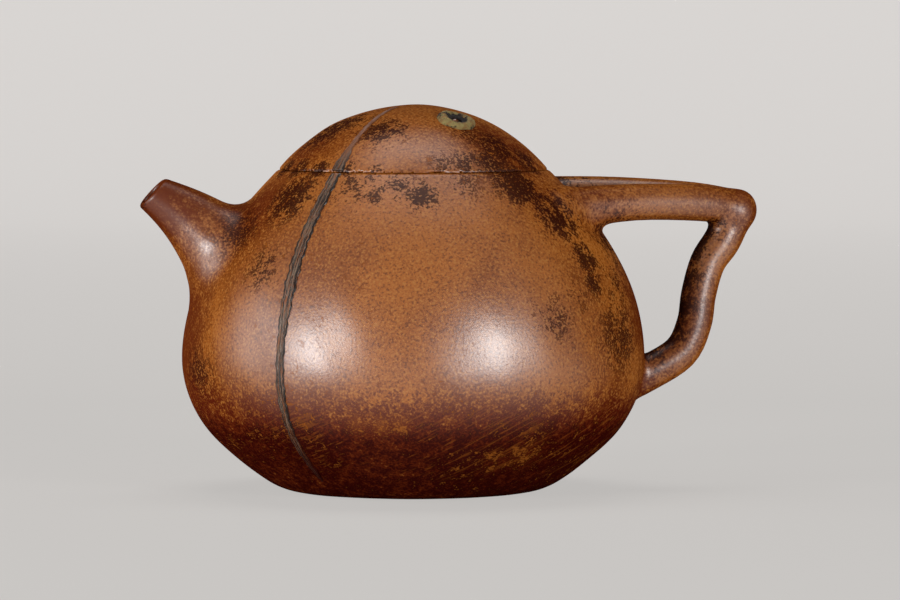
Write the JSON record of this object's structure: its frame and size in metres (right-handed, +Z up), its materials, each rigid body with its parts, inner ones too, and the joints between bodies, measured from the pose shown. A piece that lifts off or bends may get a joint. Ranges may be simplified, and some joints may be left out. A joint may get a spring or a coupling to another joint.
{
  "type": "yixing clay teapot",
  "caption": "Melon-shaped brown clay teapot with a short spout, a forked handle and a lid that continues the line of the shoulder.",
  "frame": {"origin": "centre of the foot on the pot's axis, in the plane it stands on", "axes": "+Z up along the pot's axis, +X towards the handle, the spout points to -X"},
  "size_m": [0.1508, 0.1112, 0.0927],
  "materials": {
    "brown_clay": "unglazed, hand-polished",
    "green_clay": "unglazed",
    "buff_clay": "unglazed, broken"
  },
  "bodies": {
    "pot": {"lower_belly": "brown_clay", "upper_belly": "brown_clay", "strainer": "brown_clay", "base_disc": "brown_clay", "shoulder_disc": "brown_clay", "mouth_ring": "brown_clay", "spout": "brown_clay", "handle_front_arm": "brown_clay", "handle_rear_arm": "brown_clay", "handle_lower_arm": "brown_clay", "body_vein": "green_clay"},
    "lid": {"lid_dome": "brown_clay", "lid_plate": "brown_clay", "lid_flange": "brown_clay", "stem_stub": "buff_clay", "lid_vein": "green_clay"}
  },
  "joints": [
    {"name": "lid_lift", "type": "slide", "parent": "pot", "child": "lid", "axis": [0, 0, 1], "range_m": [0, 0.04]}
  ]
}
